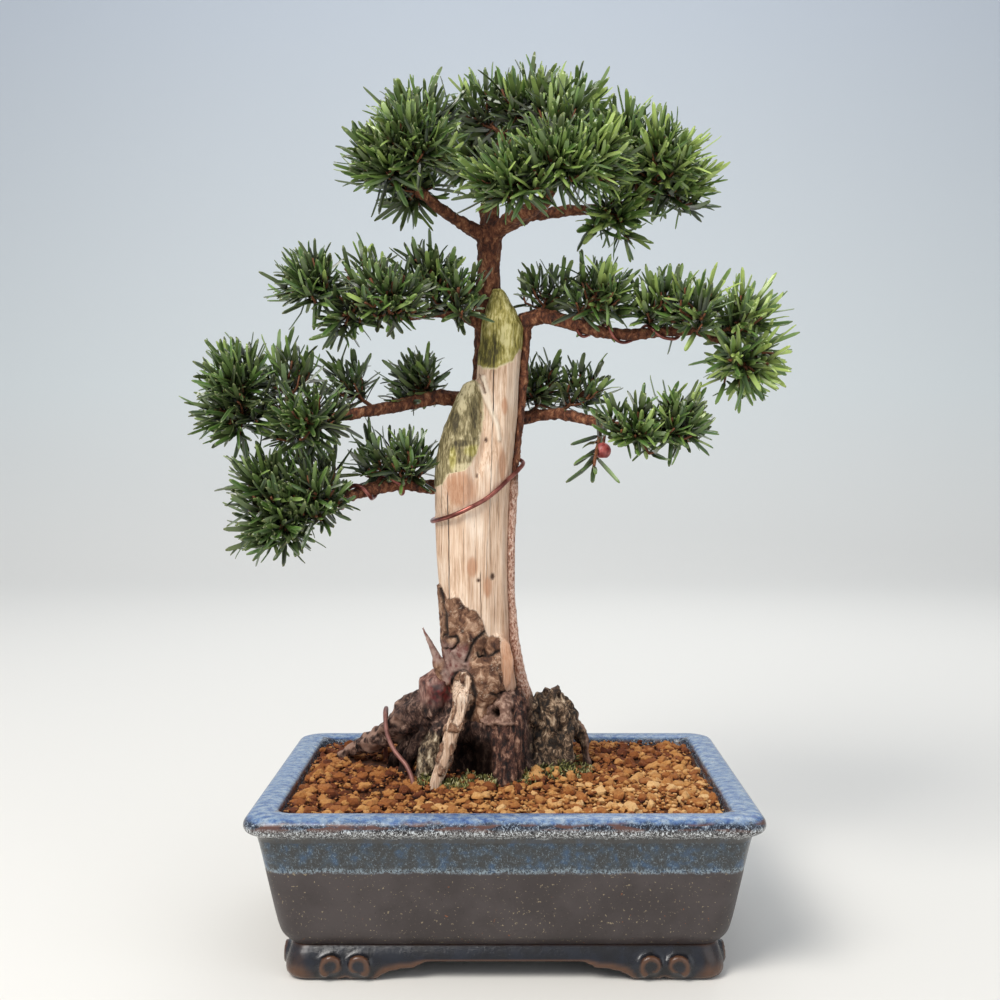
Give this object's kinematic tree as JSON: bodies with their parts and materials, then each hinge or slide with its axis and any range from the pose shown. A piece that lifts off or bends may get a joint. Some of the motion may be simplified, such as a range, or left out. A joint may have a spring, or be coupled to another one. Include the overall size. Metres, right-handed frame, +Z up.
{
  "type": "potted bonsai tree",
  "caption": "Potted conifer bonsai with a bleached broken trunk, a living strip of bark, wired branches and tufts of flat needles in a rectangular glazed pot on cloud feet.",
  "frame": {"origin": "On the plane of the feet's soles, under the middle of the whole tree's outline seen from above. The pot's centre lies 6.5 mm from it towards +X.", "axes": "+Z up, +X to the right of a viewer who faces the tree's front, +Y away from that viewer."},
  "size_m": [0.3106, 0.18, 0.4571],
  "materials": {
    "pot": "blue speckled glaze on the rim over satin dark clay",
    "soil": "dry porous clay granules",
    "dead_wood": "bleached, grained and cracked, green with algae at its tops",
    "bark": "flaky red-brown bark",
    "wire": "anodised copper brown, satin",
    "screen": "moulded mesh",
    "berry": "waxy dusky red skin",
    "foliage": "satin dark green needles with paler young tips"
  },
  "bodies": {
    "root": {"pot": "pot", "soil": "soil", "dead_trunk": "dead_wood", "living_wood": "bark", "trunk_wire": "wire", "lower_left_wire": "wire", "upper_right_wire": "wire", "anchor_wire": "wire", "drain_screen_1": "screen", "drain_screen_2": "screen", "berry": "berry", "crown_left_spray_1": "foliage", "crown_left_spray_2": "foliage", "crown_left_spray_3": "foliage", "crown_left_spray_4": "foliage", "crown_front_spray_1": "foliage", "crown_front_spray_2": "foliage", "crown_front_spray_3": "foliage", "crown_front_spray_4": "foliage", "crown_right_spray_1": "foliage", "crown_right_spray_2": "foliage", "crown_right_spray_3": "foliage", "crown_right_spray_4": "foliage", "crown_right_spray_5": "foliage", "crown_back_spray_1": "foliage", "crown_back_spray_2": "foliage", "crown_back_spray_3": "foliage", "crown_top_spray_1": "foliage", "crown_top_spray_2": "foliage", "crown_top_spray_3": "foliage", "upper_left_spray_1": "foliage", "upper_left_spray_2": "foliage", "upper_left_spray_3": "foliage", "upper_left_spray_4": "foliage", "upper_left_spray_5": "foliage", "upper_left_spray_6": "foliage", "middle_left_spray_1": "foliage", "middle_left_spray_2": "foliage", "middle_left_spray_3": "foliage", "middle_left_spray_4": "foliage", "middle_left_spray_5": "foliage", "middle_left_spray_6": "foliage", "lower_left_spray_1": "foliage", "lower_left_spray_2": "foliage", "lower_left_spray_3": "foliage", "lower_left_spray_4": "foliage", "lower_left_spray_5": "foliage", "lower_left_spray_6": "foliage", "upper_right_spray_1": "foliage", "upper_right_spray_2": "foliage", "upper_right_spray_3": "foliage", "upper_right_spray_4": "foliage", "upper_right_spray_5": "foliage", "upper_right_spray_6": "foliage", "upper_right_spray_7": "foliage", "lower_right_spray_1": "foliage", "lower_right_spray_2": "foliage", "lower_right_spray_3": "foliage", "lower_right_spray_4": "foliage", "lower_right_spray_5": "foliage"}
  },
  "joints": []
}
